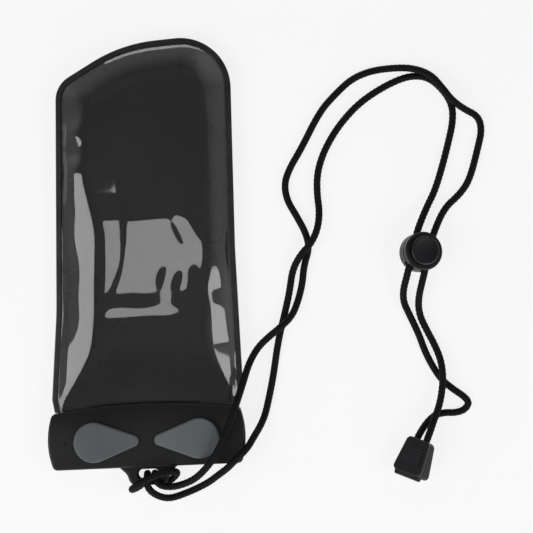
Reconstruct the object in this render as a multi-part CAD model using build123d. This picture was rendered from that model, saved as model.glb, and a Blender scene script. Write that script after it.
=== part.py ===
from build123d import *
import os
from math import asin, atan, cos, degrees, pi, radians, sin, sqrt, tan

# A waterproof case for a phone: a clear pouch whose mouth is pinched shut by a two-jaw clip.
# It lies on its back. +Z is up, +Y runs along the pouch towards its rounded end, and lengths
# are in millimetres. Pieces are drawn from the middle of the clip, on the surface the case
# lies on, and are moved by case_shift when they are written, so that the origin is below the
# middle of the case. The cord and what is on it are not counted in that middle.

os.makedirs("parts", exist_ok=True)

# Pouch outline, seen from above. Each corner has its place along the pouch and its distance
# inside or outside the end of the neck on its side.
neck_half = 43.3
neck_top = 14.0
flare_y = 21.0
left_flare = 1.1
right_flare = 3.4
left_waist_inside = 2.69
left_waist_y = 62.32
left_shoulder_inside = 6.84
left_shoulder_y = 170.59
crown_inside = 38.78
crown_y = 188.84
right_corner_outside = 3.99
right_corner_y = 192.33
right_waist_outside = 2.41
right_waist_y = 89.64
waist_radius = 150.0
shoulder_radius = 13.0
crown_radius = 70.0
corner_radius = 24.0

# Pouch films. Each slope tuple goes from the weld to the flat middle.
film = 0.5
film_gap = 0.1
seal_z = 6.2
front_rise = 7.0
mouth_y = 7.4
slope_insets = (3.0, 4.8, 6.8, 9.0)
slope_heights = (0.0, 0.48, 0.83, 1.0)
slope_starts = (19.0, 29.0, 42.0, 54.0)
wall_insets = (1.2, 0.8, 0.5, 0.2)
wall_drops = (0.0, 0.5, 0.9, 1.0)
wall_starts = (3.4, 1.8, 0.7, 0.0)

# Welded rim
rim_width = 2.4
rim_wall = 0.55
rim_groove = 1.2
rim_clip_gap = 0.8
rim_round = 0.5

# Clip jaws
jaw_end_wall = 1.0
clip_low = -12.6
clip_end_top = 14.0
clip_bow_top = 17.6
clip_end_bulge = 2.2
clip_corner = 2.6
jaw_gap = 0.3
film_clearance = 0.1
film_step_y = 6.7
neck_gap = 0.4
jaw_crest_z = 11.2
jaw_arc_r = 60.0
jaw_round = 1.1
base_round = 1.2
seal_channel_r = 1.6
seal_channel_depth = 0.5

# Eyelet for the cord, moulded on the rear jaw
eye_low = -21.6
eye_root_half = 14.1
eye_waist = (10.3, -16.2)
eye_waist_r = 5.0
eye_foot_half = 8.8
eye_corner = 4.2
eye_hole_half = 4.7
eye_hole_top = -13.9
eye_hole_low = -18.2
eye_hole_r = 2.1
eye_low_z = 3.75
eye_thick = 3.0
eye_round = 1.2
eye_root_depth = 3.0

# Seal strip, a soft bar that presses the two films of the mouth together
strip_y = 11.4
strip_width = 2.6
strip_height = 1.7
strip_proud = 0.4
strip_end_gap = 1.3
strip_side_gap = 0.1
strip_round = 0.35

# Cam levers. Half a turn takes each tip from the middle to the end and lifts the front jaw.
lever_inset = 21.9
lever_y = 0.3
lever_big_r = 9.5
lever_tip_r = 2.7
lever_tip_gap = 3.6
lever_lift = 1.2
lever_turn = 180.0
lever_gap = 0.25
lever_crown = 2.75
lever_crown_r = 180.0
lever_round = 0.95
nib_length = 1.0
nib_width = 1.8
nib_height = 1.1
seat_radius = 9.0

# Cam spindles, with one lug each in a rising slot of the rear jaw
spindle_r = 3.0
spindle_foot_z = 1.05
running_gap = 0.06
socket_gap = 0.2
socket_floor = 0.8
drive_side = 3.8
drive_height = 1.3
drive_gap = 0.05
lug_reach = 4.6
lug_width = 2.2
lug_height = 1.2
lug_low_z = 1.3
lug_gap = 0.25
lug_rest_angle = -90.0
lug_side_angle = 4.0
entry_angle = 50.0

# Split rings that hold the front jaw on the spindles
ring_r = 4.7
ring_thick = 0.7
ring_seat = 0.45
ring_seat_gap = 0.03
ring_gap = 0.27
ring_side_gap = 0.5
ring_split_width = 3.4

# Guide pegs, which keep the jaws in line
peg_inset = 5.5
peg_y = -4.0
peg_r = 1.5
peg_length = 2.65
peg_gap = 0.07
peg_tip = 0.4

# Small marks moulded in the front jaw
dot_inset = 8.4
dot_r = 0.75
dot_depth = 0.8
mark_y = 13.5
mark_r = 1.35
mark_wall = 0.35
mark_depth = 0.25

# Cord, one piece folded double: its ends lie in the cord end and its fold hitches the eyelet
cord_d = 3.5
arc_share = 0.45

# Cord lock
lock_place = (132.16, 83.16, 2.3)
lock_tilt = 15.5
lock_tilt_heading = 22.0
lock_cord_heading = 74.0
lock_r = 9.2
lock_foot_r = 8.2
lock_height = 11.8
lock_floor = 1.3
lock_ring = 3.2
lock_groove = 0.9
lock_groove_depth = 0.7
lock_round = 0.8
lock_travel = 1.8
lock_pitch = 8.0
lock_hole_gap = 0.75
button_r = 6.9
button_gap = 0.2
button_proud = 2.1
button_dish = 0.35
button_dish_r = 5.9
button_bridge = 0.9
button_round = 0.6
slot_gap = 0.45
spring_r = 0.95
spring_wire = 0.36
spring_turns = 5.0
spring_pocket_r = 1.4
spring_pocket = 3.4
spring_end_gap = 0.1

# Cord end: a base and a ribbed lid, hinged at the wide end, that close on the cord's ends
end_place = (126.75, -13.3, 9.45)
end_heading = 65.0
end_dip = 6.0
end_roll = 38.0
end_length = 17.4
end_entry_width = 12.6
end_foot_width = 16.4
end_base_entry = 3.1
end_base_foot = 6.4
end_lid_thick = 2.8
end_split = 0.3
end_corner = 2.4
end_round = 0.7
end_pitch = 5.6
end_channel_gap = 0.4
end_cord_depth = 6.0
tooth_width = 0.7
tooth_pitch = 1.9
tooth_count = 3
tooth_depth = 0.35
tooth_gap = 0.1
rib_count = 6
rib_pitch = 1.5
rib_width = 0.75
rib_height = 0.35
rib_side = 1.9
rib_shift = 0.2
pin_r = 0.7
pin_gap = 0.06
pin_seat_gap = 0.03
knuckle_r = 1.65
knuckle_reach = 0.1
knuckle_width = 9.0
knuckle_gap = 0.3
knuckle_side = 1.4

# The cord's route, from the cord end, through the lock to the eyelet and back
route = [
    (125.81, -10.1, 7.45), (129.38, -2.44, 6.56), (136.55, 5.43, 2.75), (142.56, 6.68, 1.85),
    (147.55, 6.24, 1.75), (152.06, 7.41, 1.75), (154.59, 10.79, 1.75), (152.11, 14.01, 1.75),
    (147.14, 17.54, 1.75), (141.68, 22.39, 1.75), (137.73, 28.92, 1.75), (134.29, 36.45, 1.75),
    (131.85, 44.47, 1.75), (128.42, 52.49, 1.75), (123.99, 62.53, 3.75), (127.31, 75.38, 11.26),
    (132.86, 94.71, 7.82), (137.83, 104.92, 3.75), (142.39, 112.89, 1.75), (146.18, 123.66, 1.75),
    (149.56, 134.83, 1.75), (152.65, 146.31, 1.75), (152.22, 154.81, 1.75), (147.28, 162.35, 1.75),
    (141.32, 167.4, 1.75), (133.83, 168.45, 1.75), (126.31, 166.51, 1.75), (116.78, 161.99, 1.75),
    (107.73, 156.16, 1.75), (99.67, 148.22, 1.75), (94.11, 140.77, 1.75), (89.55, 132.8, 1.75),
    (86.48, 123.82, 1.75), (85.9, 114.33, 1.75), (86.83, 104.82, 2.15), (85.26, 96.33, 4.35),
    (81.71, 89.86, 5.8), (76.67, 84.9, 4.9), (72.61, 77.93, 2.15), (71.04, 68.94, 1.75),
    (68.98, 60.46, 1.75), (64.35, 44.5, 1.75), (61.42, 28.02, 1.75), (58.63, 16.54, 1.75),
    (56.57, 9.06, 2.15), (54.03, 4.08, 4.95), (50.49, -0.9, 10.75), (47.46, -5.37, 14.35),
    (42.42, -9.83, 14.55), (37.89, -14.3, 13.35), (33.36, -17.76, 8.55), (28.33, -21.72, 4.15),
    (22.31, -24.68, 2.15), (16, -27.1, 1.75), (9.6, -28.9, 1.85), (5, -27.8, 3.7),
    (1.2, -25.1, 6.9), (-0.8, -21.8, 8.9), (-0.95, -18.5, 8.9), (-0.95, -16.1, 6.8),
    (-0.95, -16.1, 3.6), (-1.3, -18.5, 1.75), (-3.3, -21.4, 1.75), (-6.8, -23.4, 2.8),
    (-8.6, -23.6, 6.3), (-7.6, -22.9, 10.3), (-3.9, -21.3, 12.5), (1.4, -19.3, 12.7),
    (6.8, -17.1, 12.7), (11, -15.3, 12.2), (13.3, -15.3, 9.6), (13.6, -16.5, 6.3),
    (12.4, -18.2, 3.1), (9.8, -20.4, 1.8), (7, -21.7, 1.75), (4.4, -21.3, 1.75),
    (2.95, -18.7, 1.75), (2.7, -16.1, 3.6), (2.7, -16.1, 6.8), (2.95, -18.6, 8.9),
    (5.6, -21.9, 8.9), (10.8, -22.6, 9.2), (16, -21.6, 9.8), (21.85, -19.17, 11.55),
    (26.89, -14.71, 14.55), (31.43, -9.25, 17.15), (35.48, -2.28, 17.55), (39.55, 6.69, 17.55),
    (43.12, 15.66, 16.75), (46.7, 25.13, 13.15), (49.77, 34.11, 8.15), (54.33, 41.57, 4.15),
    (59.87, 46.53, 5), (65.9, 50.98, 5.7), (71.44, 55.94, 5), (74.49, 62.42, 2.05),
    (77.06, 70.9, 1.75), (78.13, 79.39, 1.75), (81.2, 88.37, 1.75), (79.75, 95.38, 1.75),
    (75.81, 103.41, 1.75), (71.38, 111.44, 1.75), (70.44, 119.45, 1.75), (73.5, 126.93, 1.75),
    (79.07, 135.38, 1.75), (88.7, 152.81, 1.75), (96.27, 160.75, 1.75), (104.82, 168.18, 1.75),
    (114.35, 171.61, 1.75), (124.86, 172.52, 1.85), (133.85, 171.95, 3.55), (142.33, 168.39, 5.75),
    (147.77, 161.34, 6.65), (152.22, 155.31, 5.85), (158.19, 151.26, 2.35), (164.67, 147.71, 1.75),
    (166.11, 141.2, 1.75), (164.05, 133.22, 1.75), (159.43, 117.75, 1.75), (154.37, 110.79, 1.75),
    (146.32, 104.35, 3.15), (140.3, 92.28, 6.16), (134.75, 72.95, 9.59), (131.99, 61.47, 3.55),
    (132.43, 53.96, 1.85), (135.37, 46.94, 1.75), (139.31, 38.91, 1.95), (141.75, 31.39, 4.15),
    (142.19, 23.38, 5.65), (141.13, 15.89, 5.55), (139.58, 9.9, 5.75), (137.04, 4.42, 7.75),
    (133.53, -3.97, 9.99), (129.96, -11.64, 10.88),
]

# Places that follow from the sizes above
cord_r = cord_d / 2
left_flare_x = -(neck_half + left_flare)
right_flare_x = neck_half + right_flare
left_waist = (left_waist_inside - neck_half, left_waist_y)
left_shoulder = (left_shoulder_inside - neck_half, left_shoulder_y)
crown = (crown_inside - neck_half, crown_y)
right_corner = (right_corner_outside + neck_half, right_corner_y)
right_waist = (right_waist_outside + neck_half, right_waist_y)
film_recess_half = neck_half + neck_gap
clip_length = 2 * (film_recess_half + jaw_end_wall + clip_end_bulge)
strip_half = film_recess_half - strip_end_gap
lever_x = clip_length / 2 - lever_inset
lever_reach = lever_x - lever_tip_gap
peg_x = clip_length / 2 - peg_inset
dot_x = clip_length / 2 - dot_inset
rim_start = clip_end_top + rim_clip_gap
pin_y = -(end_length / 2 + knuckle_reach)
back_lip_low = seal_z - film_gap / 2 - film
front_lip_top = seal_z + film_gap / 2 + film
rear_face = front_lip_top
front_face = rear_face + jaw_gap
clip_mid_y = (clip_low + clip_end_top) / 2
strip_top = front_face + strip_height
lever_low = jaw_crest_z + lever_gap
lift_per_turn = lever_lift * 360 / lever_turn
ring_low = front_face + ring_gap
lock_cord_z = lock_floor + slot_gap + lock_travel + button_bridge + slot_gap + cord_r
edge_room = 0.98
cut = 1.0
far = 300.0


def write(name, solid):
    """Move a piece from the clip's middle to the case's own origin and write it."""
    export_step(solid.moved(Location((0, case_shift, 0))), "parts/" + name + ".step")


def plate(face, low, high):
    """A flat face made into a plate between two heights."""
    return Pos(0, 0, low) * extrude(face, high - low)


def block(x_low, x_high, y_low, y_high, z_low, z_high):
    """A box between its lowest and highest corners."""
    middle = Pos((x_low + x_high) / 2, (y_low + y_high) / 2, (z_low + z_high) / 2)
    return middle * Box(x_high - x_low, y_high - y_low, z_high - z_low)


def rod(radius, low, high, x=0.0, y=0.0):
    """An upright cylinder between two heights."""
    return Pos(x, y, (low + high) / 2) * Cylinder(radius, high - low)


def cross_rod(radius, x_low, x_high, y=0.0, z=0.0):
    """A cylinder along X between two places."""
    return Pos((x_low + x_high) / 2, y, z) * Rot(0, 90, 0) * Cylinder(radius, x_high - x_low)


def long_rod(radius, y_low, y_high, x=0.0, z=0.0):
    """A cylinder along Y between two places."""
    return Pos(x, (y_low + y_high) / 2, z) * Rot(90, 0, 0) * Cylinder(radius, y_high - y_low)


def rounded_polygon(corners, rounds):
    """A closed outline with the radius that rounds gives for each named corner, or less where
    two roundings would meet on the edge between them."""
    radii = dict(rounds)
    ahead = corners[1:] + corners[:1]
    runs = [Vector(*end) - Vector(*start) for start, end in zip(corners, ahead)]
    halves = [radians(run_in.get_angle(run)) / 2 for run_in, run in zip(runs[-1:] + runs, runs)]
    reaches = [radii.get(corner, 0) * tan(half) for corner, half in zip(corners, halves)]
    rooms = [
        run.length * edge_room / max(start + end, run.length * edge_room)
        for run, start, end in zip(runs, reaches, reaches[1:] + reaches[:1])
    ]
    face = make_face(Polyline(*corners, close=True))
    for corner, room_in, room in zip(corners, rooms[-1:] + rooms, rooms):
        if corner in radii:
            vertex = face.vertices().sort_by_distance((corner[0], corner[1], 0))[0]
            face = fillet(vertex, radii[corner] * min(room_in, room))
    return face


# Pouch


def upper_outline(left_low, right_low):
    """The corners above the waist, with the radius of each, between two lower corner lists."""
    upper = [left_waist, left_shoulder, crown, right_corner, right_waist]
    radii = [waist_radius, shoulder_radius, crown_radius, corner_radius, waist_radius]
    return rounded_polygon(left_low + upper + right_low, list(zip(upper, radii)))


def pouch_outline(end_y):
    """Plan of the whole pouch, with the neck that goes into the clip."""
    left = [(-neck_half, end_y), (-neck_half, neck_top), (left_flare_x, flare_y)]
    right = [(right_flare_x, flare_y), (neck_half, neck_top), (neck_half, end_y)]
    return upper_outline(left, right)


def dome_level(inset, height, start):
    """One level of the puffed film: the outline drawn in, and cut off towards the clip."""
    foot = upper_outline([(left_flare_x, 0)], [(right_flare_x, 0)])
    smaller = offset(foot, amount=-inset, kind=Kind.INTERSECTION)
    kept = smaller & (Pos(0, start + far / 2) * Rectangle(far, far))
    return Pos(0, 0, height) * kept.faces()[0]


def film_shell(rise):
    """A film above the seal plane: flat lip, welded edge, slopes and a flat middle."""
    lip_low = seal_z + film_gap / 2
    edge_inset = rim_width - rim_groove + film_gap
    sheet = offset(pouch_outline(mouth_y - edge_inset), amount=-edge_inset, kind=Kind.INTERSECTION)
    lip = plate(sheet, lip_low, lip_low + film)
    outside = []
    inside = []
    for step, inset in enumerate(slope_insets):
        height = lip_low + slope_heights[step] * (rise - film_gap / 2)
        outside.append(dome_level(inset, height, slope_starts[step]))
        below = max(wall_drops[step] * film, film_gap * (step == 0))
        wall_start = slope_starts[step] + wall_starts[step] * film
        inside.append(dome_level(inset + wall_insets[step] * film, height - below, wall_start))
    return lip + loft(outside, ruled=True) - loft(inside, ruled=True)


def front_window():
    """Clear film over the phone."""
    return film_shell(front_rise)


def back_sheet():
    """Dark film below the phone, as deep as the seal plane is high."""
    return mirror(film_shell(seal_z), Plane.XY.offset(seal_z))


def welded_rim():
    """Bead round the pouch that takes both films in its groove."""
    low = back_lip_low - rim_wall
    high = front_lip_top + rim_wall
    outline = pouch_outline(mouth_y)
    bead = plate(outline, low, high)
    bead = fillet(bead.edges().group_by(Axis.Z)[-1] + bead.edges().group_by(Axis.Z)[0], rim_round)
    inner = offset(outline, amount=-rim_width, kind=Kind.INTERSECTION)
    groove = offset(outline, amount=rim_groove - rim_width, kind=Kind.INTERSECTION)
    bead -= plate(inner, low - cut, high + cut)
    bead -= plate(groove, back_lip_low - film_gap / 2, front_lip_top + film_gap / 2)
    return bead - block(-far, far, -far, rim_start, -far, far)


# Clip


def jaw_outline():
    """Plan of both jaws: straight low edge, bowed top edge and bulged ends."""
    half = clip_length / 2 - clip_end_bulge
    low_left = (-half, clip_low)
    low_right = (half, clip_low)
    top_right = (half, clip_end_top)
    top_left = (-half, clip_end_top)
    edges = Curve() + [
        Line(low_left, low_right),
        ThreePointArc(low_right, (clip_length / 2, clip_mid_y), top_right),
        ThreePointArc(top_right, (0, clip_bow_top), top_left),
        ThreePointArc(top_left, (-clip_length / 2, clip_mid_y), low_left),
    ]
    face = make_face(edges)
    return fillet(face.vertices(), clip_corner)


def eyelet():
    """Flat eye that tapers away from the clip, with every edge rounded for the cord."""
    root_y = clip_low + eye_root_depth
    waist_x, waist_y = eye_waist
    left = [
        (-eye_root_half, root_y),
        (-eye_root_half, clip_low),
        (-waist_x, waist_y),
        (-eye_foot_half, eye_low),
    ]
    right = [(-x, y) for x, y in reversed(left)]
    rounds = [(left[2], eye_waist_r), (left[3], eye_corner), (right[0], eye_corner), (right[1], eye_waist_r)]
    outline = rounded_polygon(left + right, rounds)
    hole_mid = (eye_hole_top + eye_hole_low) / 2
    hole = RectangleRounded(2 * eye_hole_half, eye_hole_top - eye_hole_low, eye_hole_r)
    outline -= Pos(0, hole_mid) * hole
    eye = plate(outline, eye_low_z, eye_low_z + eye_thick)
    rims = eye.edges().filter_by(Plane.XY)
    return fillet(rims.filter_by(lambda edge: edge.center().Y < root_y - 0.1), eye_round)


def lug_slot():
    """Rising slot for one lug, round the spindle's axis, with its way in from above."""
    side_angle = degrees(asin(lug_width / 2 / spindle_r)) + lug_side_angle
    sweep_angle = 2 * side_angle + lever_turn + entry_angle
    height = lug_height + 2 * lug_gap
    inner = spindle_r - socket_gap
    outer = lug_reach + lug_gap
    middle = (inner + outer) / 2
    start_z = lug_low_z + lug_height / 2 - lift_per_turn * side_angle / 360
    path = Helix(lift_per_turn, lift_per_turn * sweep_angle / 360, middle)
    section = Plane(origin=path @ 0, x_dir=(1, 0, 0), z_dir=path % 0) * Rectangle(outer - inner, height)
    slot = sweep(section, path=path, is_frenet=True)
    slot = Rot(0, 0, lug_rest_angle - side_angle) * Pos(0, 0, start_z) * slot
    entry_z = lug_low_z + lift_per_turn * (lever_turn + entry_angle) / 360
    entry = block(0, outer, -lug_width / 2 - lug_gap, lug_width / 2 + lug_gap, entry_z, rear_face + cut)
    return slot + Rot(0, 0, lug_rest_angle + lever_turn + entry_angle) * entry


def rear_jaw():
    """Rear jaw with the eyelet, the guide pegs and the two cam sockets."""
    jaw = plate(jaw_outline(), 0, rear_face)
    jaw = fillet(jaw.edges().group_by(Axis.Z)[0], base_round)
    jaw += eyelet()
    recess_floor = back_lip_low - film_clearance
    jaw -= block(-film_recess_half, film_recess_half, film_step_y, far, recess_floor, far)
    channel_z = recess_floor + seal_channel_r - seal_channel_depth
    jaw -= cross_rod(seal_channel_r, -strip_half, strip_half, strip_y, channel_z)
    slot = lug_slot()
    for side in (-1, 1):
        jaw -= rod(spindle_r + socket_gap, socket_floor, far, side * lever_x, lever_y)
        jaw -= Pos(side * lever_x, lever_y) * (slot if side < 0 else mirror(slot, Plane.YZ))
        peg = rod(peg_r, rear_face - cut, rear_face + peg_length, side * peg_x, peg_y)
        jaw += chamfer(peg.edges().group_by(Axis.Z)[-1], peg_tip)
    return jaw


def front_jaw():
    """Front jaw: a bowed bar with a crowned face, two lever seats and its moulded marks."""
    jaw = plate(jaw_outline(), front_face, jaw_crest_z + cut)
    jaw &= cross_rod(jaw_arc_r, -far, far, lever_y, jaw_crest_z - jaw_arc_r)
    upper_edges = jaw.edges().filter_by(lambda edge: edge.center().Z > front_face + cut)
    jaw = fillet(upper_edges.filter_by(lambda edge: edge.length > clip_corner * 8), jaw_round)
    jaw -= block(-film_recess_half, film_recess_half, film_step_y, far, 0, front_face + strip_proud)
    groove_x = strip_half + strip_side_gap
    groove_low = strip_y - strip_width / 2 - strip_side_gap
    groove_high = strip_y + strip_width / 2 + strip_side_gap
    jaw -= block(-groove_x, groove_x, groove_low, groove_high, 0, strip_top + strip_side_gap)
    for side in (-1, 1):
        x = side * lever_x
        jaw += rod(seat_radius, front_face + cut, jaw_crest_z, x, lever_y)
        jaw -= rod(spindle_r + running_gap, 0, far, x, lever_y)
        jaw -= rod(ring_r + ring_side_gap, 0, ring_low + ring_thick + ring_gap, x, lever_y)
        jaw -= rod(peg_r + peg_gap, 0, rear_face + peg_length + jaw_gap, side * peg_x, peg_y)
        jaw -= rod(dot_r, jaw_height(lever_y) - dot_depth, far, side * dot_x, lever_y)
        ring = rod(mark_r, jaw_height(mark_y) - mark_depth, far) - rod(mark_r - mark_wall, 0, far)
        jaw -= Pos(x, mark_y) * ring
    return jaw


def jaw_height(y):
    """Height of the front jaw's crowned face at a distance across the clip."""
    return jaw_crest_z - jaw_arc_r + sqrt(jaw_arc_r**2 - (y - lever_y) ** 2)


def seal_strip():
    """Soft bar in the front jaw's groove."""
    half = strip_width / 2
    bar = block(-strip_half, strip_half, strip_y - half, strip_y + half, front_face, strip_top)
    return fillet(bar.edges().group_by(Axis.Z)[0], strip_round)


# Cam levers


def lever_outline():
    """Teardrop: a large round end on the pivot and a small tip, joined by tangents."""
    tip_x = lever_reach - lever_tip_r
    lean = asin((lever_big_r - lever_tip_r) / tip_x)
    big = (lever_big_r * sin(lean), lever_big_r * cos(lean))
    tip = (tip_x + lever_tip_r * sin(lean), lever_tip_r * cos(lean))
    edges = Curve() + [
        ThreePointArc((big[0], -big[1]), (-lever_big_r, 0), big),
        Line(big, tip),
        ThreePointArc(tip, (lever_reach, 0), (tip[0], -tip[1])),
        Line((tip[0], -tip[1]), (big[0], -big[1])),
    ]
    return make_face(edges)


def lever():
    """Lever about its own pivot, tip towards +X: crowned, with a nib at its round end."""
    crown_z = lever_low + lever_crown
    arm = plate(lever_outline(), lever_low, crown_z + cut)
    arm &= Pos(0, 0, crown_z - lever_crown_r) * Sphere(lever_crown_r)
    rim = arm.edges().filter_by(lambda e: e.center().Z > lever_low + cut / 2 and e.length > lever_tip_r)
    arm = fillet(rim, lever_round)
    nib = make_face(Polyline((0, nib_width), (0, -nib_width), (-lever_big_r - nib_length, 0), close=True))
    arm += plate(nib, lever_low, lever_low + nib_height)
    hole = drive_side + 2 * drive_gap
    return arm - Pos(0, 0, lever_low) * Box(hole, hole, 2 * (drive_height + drive_gap))


def spindle():
    """Cam spindle with a square drive, a ring groove and one lug."""
    body = rod(spindle_r, spindle_foot_z, lever_low)
    half = drive_side / 2
    body += block(-half, half, -half, half, lever_low, lever_low + drive_height)
    groove = rod(spindle_r + cut, ring_low - ring_seat_gap, ring_low + ring_thick + ring_seat_gap)
    body -= groove - rod(spindle_r - ring_seat, 0, far)
    lug = block(0, lug_reach + cut, -lug_width / 2, lug_width / 2, lug_low_z, lug_low_z + lug_height)
    lug &= rod(lug_reach, 0, far)
    return body + Rot(0, 0, lug_rest_angle) * lug


def split_ring():
    """Ring that snaps into the spindle's groove below the front jaw."""
    ring = rod(ring_r, ring_low, ring_low + ring_thick)
    ring -= rod(spindle_r - ring_seat + ring_seat_gap, 0, far)
    return ring - block(0, far, -ring_split_width / 2, ring_split_width / 2, 0, far)


# Cord lock


def slanted(place, axis, across):
    """Frame at a place, with its Z along axis and its X along across."""
    return Plane(origin=place, x_dir=across, z_dir=axis)


def lock_frame():
    """The lock's own frame: Z out of the button, Y along the two strands."""
    tilt = radians(lock_tilt)
    lean = radians(lock_tilt_heading)
    axis = Vector(sin(tilt) * cos(lean), sin(tilt) * sin(lean), cos(tilt))
    heading = radians(lock_cord_heading)
    ahead = Vector(cos(heading), sin(heading), -tan(tilt) * cos(heading - lean))
    return slanted(lock_place, axis, ahead.cross(axis))


def revolved(points):
    """Solid of revolution about Z from a list of radius and height pairs."""
    return revolve(make_face(Plane.XZ * Polyline(*points, close=True)), Axis.Z)


def lock_body():
    """Barrel with a grooved front ring, a blind bore and two holes for the cord."""
    ring_low_z = lock_height - lock_ring
    waist_r = lock_r - lock_groove_depth
    profile = [
        (0, 0),
        (lock_foot_r, 0),
        (lock_r, lock_floor + lock_round),
        (lock_r, ring_low_z - lock_groove),
        (waist_r, ring_low_z - lock_groove),
        (waist_r, ring_low_z),
        (lock_r, ring_low_z),
        (lock_r, lock_height),
        (0, lock_height),
    ]
    body = revolved(profile)
    rim = body.edges().filter_by(GeomType.CIRCLE).group_by(Axis.Z)[-1]
    body = fillet(rim, lock_round)
    body -= rod(button_r + button_gap, lock_floor, far)
    for side in (-1, 1):
        body -= long_rod(cord_r + lock_hole_gap, -far, far, side * lock_pitch / 2, lock_cord_z)
    return body


def lock_button():
    """Button and plunger in one: a dished face, two slots for the cord and a spring pocket."""
    low = lock_cord_z - cord_r - slot_gap - button_bridge
    top = lock_height + button_proud
    button = rod(button_r, low, top)
    button = fillet(button.edges().group_by(Axis.Z)[-1], button_round)
    dish_sphere = (button_dish_r**2 + button_dish**2) / (2 * button_dish)
    button -= Pos(0, 0, top - button_dish + dish_sphere) * Sphere(dish_sphere)
    button -= rod(spring_pocket_r, 0, low + spring_pocket)
    half = cord_r + slot_gap
    for side in (-1, 1):
        x = side * lock_pitch / 2
        for z in (lock_cord_z, lock_cord_z + lock_travel):
            button -= long_rod(half, -far, far, x, z)
        button -= block(x - half, x + half, -far, far, lock_cord_z, lock_cord_z + lock_travel)
    return button


def lock_spring():
    """Small coil spring from the lock's floor to the top of the button's pocket."""
    low = lock_floor + spring_end_gap + spring_wire / 2
    pocket_top = lock_cord_z - cord_r - slot_gap - button_bridge + spring_pocket
    high = pocket_top - spring_end_gap - spring_wire / 2
    path = Helix((high - low) / spring_turns, high - low, spring_r)
    section = Plane(origin=path @ 0, x_dir=(1, 0, 0), z_dir=path % 0) * Circle(spring_wire / 2)
    return Pos(0, 0, low) * sweep(section, path=path, is_frenet=True)


# Cord end


def end_frame():
    """The cord end's own frame: Y towards the cord, Z out of the lid."""
    heading = radians(end_heading)
    dip = radians(end_dip)
    roll = radians(end_roll)
    along = Vector(cos(heading) * cos(dip), sin(heading) * cos(dip), -sin(dip))
    level = Vector(sin(heading), -cos(heading), 0)
    up = level.cross(along) * cos(roll) - level * sin(roll)
    return slanted(end_place, up, along.cross(up))


def end_outline():
    """Plan of both halves, wide at the hinge and narrow where the cord comes in."""
    half = end_length / 2
    corners = [
        (-end_foot_width / 2, -half), (end_foot_width / 2, -half),
        (end_entry_width / 2, half), (-end_entry_width / 2, half),
    ]
    return rounded_polygon(corners, [(corner, end_corner) for corner in corners])


def knuckles(radius, side_gap):
    """The outer hinge knuckles of the base, or the room for them in the lid."""
    inner = knuckle_width / 2 + knuckle_gap - side_gap
    outer = end_foot_width / 2 - knuckle_side + side_gap
    return cross_rod(radius, inner, outer, pin_y) + cross_rod(radius, -outer, -inner, pin_y)


def cord_channels(radius):
    """Two channels for the ends of the cord."""
    start = end_length / 2 - end_cord_depth - end_channel_gap
    left = long_rod(radius, start, far, -end_pitch / 2)
    return left + long_rod(radius, start, far, end_pitch / 2)


def cord_end_base():
    """Wedge-shaped base half with toothed channels and the outer hinge knuckles."""
    top = -end_split / 2
    slope = degrees(atan((end_base_foot - end_base_entry) / end_length))
    floor = Pos(0, end_length / 2, top - end_base_entry - far / 2) * Box(far, far, far)
    floor = floor.rotate(Axis((0, end_length / 2, top - end_base_entry), (1, 0, 0)), slope)
    base = plate(end_outline(), top - 2 * end_base_foot, top) - floor
    base = fillet(base.faces().sort_by(Axis.Z)[0].edges(), end_round)
    well_half = knuckle_width / 2 + knuckle_gap
    base += knuckles(knuckle_r, 0)
    base -= cross_rod(knuckle_r + knuckle_gap, -well_half, well_half, pin_y)
    base -= cross_rod(pin_r + pin_seat_gap, -far, far, pin_y)
    base -= cord_channels(cord_r + tooth_depth)
    for number in range(tooth_count):
        y = end_length / 2 - end_cord_depth + tooth_pitch * (number + 0.5)
        low_y = y - tooth_width / 2
        high_y = y + tooth_width / 2
        for side in (-1, 1):
            x = side * end_pitch / 2
            half = cord_r + tooth_depth
            tooth = block(x - half, x + half, low_y, high_y, -half - cut / 2, top)
            base += tooth - long_rod(cord_r + tooth_gap, -far, far, x)
    return base


def cord_end_lid():
    """Ribbed lid with the middle knuckle."""
    low = end_split / 2
    lid = plate(end_outline(), low, low + end_lid_thick)
    lid = fillet(lid.edges().group_by(Axis.Z)[-1], end_round)
    lid -= knuckles(knuckle_r + knuckle_gap, knuckle_gap)
    lid += cross_rod(knuckle_r, -knuckle_width / 2, knuckle_width / 2, pin_y)
    lid -= cross_rod(pin_r + pin_gap, -far, far, pin_y)
    lid -= cord_channels(cord_r + end_channel_gap)
    face = low + end_lid_thick
    for number in range(rib_count):
        y = rib_shift + rib_pitch * (number - (rib_count - 1) / 2)
        taper = (end_foot_width - end_entry_width) * (0.5 - y / end_length)
        half = (end_entry_width + taper) / 2 - rib_side
        lid += block(-half, half, y - rib_width / 2, y + rib_width / 2, face - cut, face + rib_height)
    return lid


def cord_end_pin():
    """Hinge pin, flush in the outer knuckles."""
    half = end_foot_width / 2 - knuckle_side
    return cross_rod(pin_r, -half, half, pin_y)


# Cord


def neck_cord():
    """Plain tube along the route: straight runs joined by the largest arcs that fit."""
    radii = []
    for before, corner, after in zip(route, route[1:], route[2:]):
        run_in = Vector(*corner) - Vector(*before)
        run_out = Vector(*after) - Vector(*corner)
        half_turn = radians(run_in.get_angle(run_out)) / 2
        radii.append(arc_share * min(run_in.length, run_out.length) / tan(half_turn))
    path = FilletPolyline(*route, radius=radii)
    section = Plane(origin=path @ 0, z_dir=path % 0) * Circle(cord_r)
    tube = sweep(section, path=path)
    expected = pi * cord_r**2 * path.length
    print("cord radii", [round(radius, 1) for radius in radii])
    print("cord length", round(path.length, 1))
    print("cord volume", round(tube.volume, 1), "and section times length", round(expected, 1))
    return tube


case_top = pouch_outline(mouth_y).bounding_box().max.Y
case_shift = -(case_top + eye_low) / 2

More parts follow.
